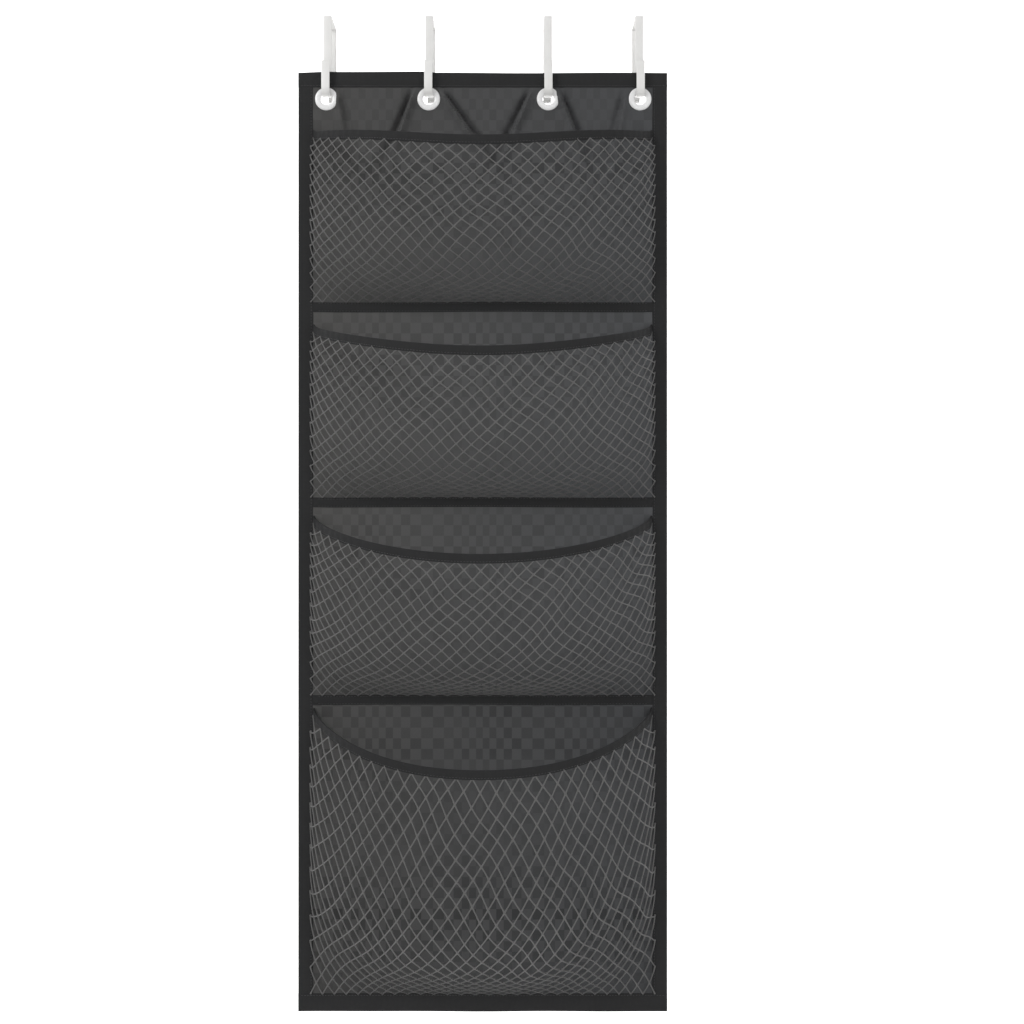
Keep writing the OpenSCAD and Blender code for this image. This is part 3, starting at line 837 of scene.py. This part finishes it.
# A ring turned about the hole's axis from a profile of radius and depth: a domed front, half a circle wide
# and dome * sine^0.8 high, then the barrel, its rolled rear edge and the flat back of the flange.
def makeEyelet(number):
    centre = eyeletCentres[number - 1]
    high = span(f"eyelet_{number}")[1]
    hole, flange, dome = eyeletShape["hole"], eyeletShape["flange"], eyeletShape["dome"]
    a = np.linspace(0, math.pi, 15)
    middle, half = (hole + flange) / 2, (flange - hole) / 2
    front = np.stack([middle + half * np.cos(a), -dome * np.sin(a) ** 0.8], 1)
    back = high[1] - liningFront
    inside = np.array([
        [hole, 0.5 * mm], [hole, back - 0.5 * mm], [hole + 0.4 * mm, back],
        [hole + 2.1 * mm, back - 0.1 * mm], [hole + 2.4 * mm, back - 0.5 * mm],
        [hole + 2.1 * mm, back - 1.0 * mm], [hole + 1 * mm, back - 1.1 * mm],
        [hole + 1 * mm, 0.1 * mm], [flange - 0.3 * mm, 0.1 * mm]])
    profile = np.concatenate([front, inside])
    turn = np.arange(eyeletShape["sides"]) * 2 * math.pi / eyeletShape["sides"]
    r, deep = profile[None, :, 0], profile[None, :, 1]
    y = np.broadcast_to(liningFront + deep, (len(turn), len(profile)))
    points = np.stack([
        centre[0] + r * np.cos(turn)[:, None], y, centre[2] + r * np.sin(turn)[:, None]], -1)
    points = np.concatenate([points, points[:1]])
    part = gridPart(points, np.linspace(0, 0.07, len(points)), profileLength(profile), closed=True)
    piece = makePiece(f"eyelet_ring_{number}", [part], [enamel])
    join(piece)
    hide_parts(f"eyelet_{number}")
    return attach(piece, "section_1")


# Joins the points that share a place, which closes a turned ring's seam.
def join(piece):
    work = bmesh.new()
    work.from_mesh(piece.data)
    bmesh.ops.remove_doubles(work, verts=work.verts, dist=1e-7)
    work.to_mesh(piece.data)
    work.free()


hookShape = {
    "width": 10 * mm, "thick": 1.8 * mm, "corner": 0.55 * mm, "tipDrop": 60 * mm,
    "roundDrop": 91 * mm, "endRadius": 9.9 * mm, "bend": 1.7 * mm, "rearDrop": 90 * mm,
    "foldRadius": 1.5 * mm, "endEase": 0.6 * mm}
tongueShape = {"bendAt": 0.8, "soft": 0.06}


# Points on a circle about a centre, from one angle to another in degrees.
def arc(centreY, centreZ, radius, start, end, count):
    a = np.radians(np.linspace(start, end, count))
    return np.stack([centreY + radius * np.cos(a), centreZ + radius * np.sin(a)], 1)


# A rounded strip profile carried along a path of (y, z) pairs; both ends shrink over the last 0.6 mm as a
# quarter circle.
def stripPiece(name, path, middle, finish):
    path = np.asarray(path)
    step = np.linalg.norm(np.diff(path, axis=0), axis=1)
    run = np.concatenate([[0], np.cumsum(step)])
    ends = np.array([0, 0.25, 0.6]) * mm
    fine = np.unique(np.concatenate([run, ends, run[-1] - ends]))
    path = np.stack([np.interp(fine, run, path[:, k]) for k in range(2)], 1)
    along = np.gradient(path, fine, axis=0)
    along /= np.linalg.norm(along, axis=1, keepdims=True)
    out = np.stack([along[:, 1], -along[:, 0]], 1)
    ease = np.minimum(fine, fine[-1] - fine) / hookShape["endEase"]
    small = np.where(ease < 1, np.sqrt(np.maximum(1 - (1 - np.minimum(ease, 1)) ** 2, 0.16)), 1)
    profile = roundedStrip(hookShape["width"], hookShape["thick"], hookShape["corner"])
    across, deep = profile[None, :, 0], profile[None, :, 1] * small[:, None]
    narrow = across - np.sign(across) * (1 - small[:, None]) * hookShape["corner"]
    y = path[:, None, 0] + out[:, None, 0] * deep
    z = path[:, None, 1] + out[:, None, 1] * deep
    points = np.stack([middle + narrow, y, z], -1)
    part = gridPart(points, fine, profileLength(profile), closed=True, caps=True)
    piece = makePiece(name, [part], [finish])
    return piece


# Path of the strip: up-turned tip, round end, front leg, bridge over the door, rear leg and sharp fold.
def makeHook(number):
    shape = hookShape
    low, high = span(f"hook_{number}")
    middle = (low[0] + high[0]) / 2
    front, rear = -shape["thick"] / 2, high[1] - shape["thick"] / 2
    endY = front - shape["endRadius"]
    endZ = -shape["roundDrop"]
    bendIn = shape["bend"]
    top = high[2] - shape["thick"] / 2
    foldY, foldZ = rear - shape["foldRadius"], -shape["rearDrop"]
    path = np.concatenate([
        np.stack([
            np.full(8, endY - shape["endRadius"]), np.linspace(-shape["tipDrop"], endZ + mm, 8)], 1),
        arc(endY, endZ, shape["endRadius"], 180, 360, 33),
        np.stack([np.full(24, front), np.linspace(endZ + mm, top - bendIn - mm, 24)], 1),
        arc(front + bendIn, top - bendIn, bendIn, 180, 90, 9),
        np.stack([np.linspace(front + bendIn + mm, rear - bendIn - mm, 12), np.full(12, top)], 1),
        arc(rear - bendIn, top - bendIn, bendIn, 90, 0, 9),
        np.stack([np.full(24, rear), np.linspace(top - bendIn - mm, foldZ + mm, 24)], 1),
        arc(foldY, foldZ, shape["foldRadius"], 0, -168, 13)])
    piece = stripPiece(f"door_hook_{number}", path, middle, steel)
    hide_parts(f"hook_{number}")
    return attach(piece, "door_hooks")


# The tongue leans towards the door, then turns upright over a smooth bend: a straight slope that rounds off
# to 1, by t - soft * log(1 + exp((t - 1) / soft)).
def makeTongue(number):
    low, high = span(f"spring_tongue_{number}")
    middle = (low[0] + high[0]) / 2
    rootY, tipY = high[1] - hookShape["thick"] / 2, low[1] + hookShape["thick"] / 2
    rise = np.linspace(0, 1, 41)
    tall, soft = high[2] - low[2], tongueShape["soft"]
    t = rise / tongueShape["bendAt"]
    lean = t - soft * np.logaddexp(0, (t - 1) / soft)
    lean = (lean - lean[0]) / (lean[-1] - lean[0])
    path = np.stack([rootY + (tipY - rootY) * lean, low[2] + tall * rise], 1)
    piece = stripPiece(f"hook_tongue_{number}", path, middle, steel)
    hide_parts(f"spring_tongue_{number}")
    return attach(piece, f"tongue_{number}")


linings = [makeLining(k) for k in range(3)]
sideTapes = [[makeSideTape(k, side) for side in (-1, 1)] for k in range(3)]
topTape = makeLevelTape("top_binding", "top_tape", 1, "section_1")
bottomTape = makeLevelTape("bottom_binding", "bottom_tape", -1, "section_4")
bands = [makeBand(k) for k in (1, 2, 3)]
print("lining and tapes sewn")

for number in range(3):
    piece, cut = linings[number]
    for part in (piece, *sideTapes[number]):
        acrossFold(part, number)

pockets = [Pocket(k) for k in pocketNames]
for pocket in pockets:
    net, tall, cordLength = makeNet(pocket)
    tape, tapeLength = makeMouthTape(pocket)
    cordSize = netShape["cord"][pocket.number - 1]
    # the net's cloth is half of its cords' round surface in the flat cut, times the bell curves' mean
    swollen = 1 + netShape["knot"] * netShape["knotSpan"] * math.sqrt(math.pi)
    cloth = cordLength * math.pi * cordSize / 2 * swollen
    print(f"net {pocket.number}: cut {pocket.width:.3f} x {tall:.3f} m, cord {cordLength:.1f} m, "
          f"cloth {cloth:.4f} m2, share {cloth / (pocket.width * tall):.3f}, mouth tape {tapeLength:.3f} m")
print("pockets netted")

for number in (1, 2, 3, 4):
    makeEyelet(number)
    makeHook(number)
    makeTongue(number)
    frame["nodes"][f"eyelet_washer_{number}"].data.materials.clear()
    frame["nodes"][f"eyelet_washer_{number}"].data.materials.append(enamel)
print("eyelets and hooks made")


# A pale floor that sweeps up into a wall: a quarter circle between the two, z = floor + r (1 - cos a).
studio = {"floor": -2.03, "wall": 3.4, "sweep": 0.8, "half": 6.0, "near": -4.5, "top": 4.0}
cornerY = studio["wall"] - studio["sweep"]
a = np.linspace(0, math.pi / 2, 25)
curveY = cornerY + studio["sweep"] * np.sin(a)
curveZ = studio["floor"] + studio["sweep"] * (1 - np.cos(a))
side = np.concatenate([
    [[studio["near"], studio["floor"]]], np.stack([curveY, curveZ], 1), [[studio["wall"], studio["top"]]]])
sweep = np.stack([
    np.stack([np.full(len(side), x), side[:, 0], side[:, 1]], -1)
    for x in (-studio["half"], studio["half"])], 1)
sweepPart = gridPart(sweep, np.arange(len(side)) * 0.1, np.array([0.0, 1.0]))
paper = Finish("studio paper", Roughness=0.9, Specular_IOR_Level=0.1)
paperGrain = paper.noise(paper.node("TexCoord", None, None, output=3), 60.0)
paper.paint(paper.mix(paperGrain, (0.92, 0.92, 0.92), (0.95, 0.95, 0.95)))
makePiece("studio_sweep", [sweepPart], [paper.material])

scene = bpy.context.scene
scene.view_settings.view_transform = "Standard"
scene.view_settings.look = "None"
world = bpy.data.worlds.new("soft room")
world.use_nodes = True
world.node_tree.nodes["Background"].inputs["Color"].default_value = (1, 1, 1, 1)
world.node_tree.nodes["Background"].inputs["Strength"].default_value = 0.62
scene.world = world

# Each light's place, its width in metres and its power in watts.
lights = {
    "key": ((-1.7, -2.0, 0.9), 1.1, 24),
    "fill": ((1.8, -2.4, -0.4), 1.8, 5),
    "wall": ((0, 0.9, 1.2), 2.5, 150)}
targets = {"key": (0, 0, -0.6), "fill": (0, 0, -0.7), "wall": (0, 3.4, -0.6)}
for name, (place, size, power) in lights.items():
    lamp = bpy.data.lights.new(name, "AREA")
    lamp.shape, lamp.size, lamp.energy = "SQUARE", size, power
    holder = bpy.data.objects.new(name, lamp)
    holder.location = place
    holder.rotation_euler = (Vector(targets[name]) - Vector(place)).to_track_quat("-Z", "Y").to_euler()
    scene.collection.objects.link(holder)

# The camera looks level along the door's depth, a little right of the panel's middle.
view = {"side": 0.0357, "level": -0.608, "distance": 1.61, "frameWidth": 1.249, "sensor": 36}
camera = bpy.data.cameras.new("camera")
camera.sensor_width = view["sensor"]
camera.lens = view["sensor"] * view["distance"] / view["frameWidth"]
camera.dof.use_dof = False
eye = bpy.data.objects.new("camera", camera)
eye.location = (view["side"], liningFront - view["distance"], view["level"])
eye.rotation_euler = (math.pi / 2, 0, 0)
scene.collection.objects.link(eye)
scene.camera = eye

bpy.context.view_layer.update()
print("studio ready")
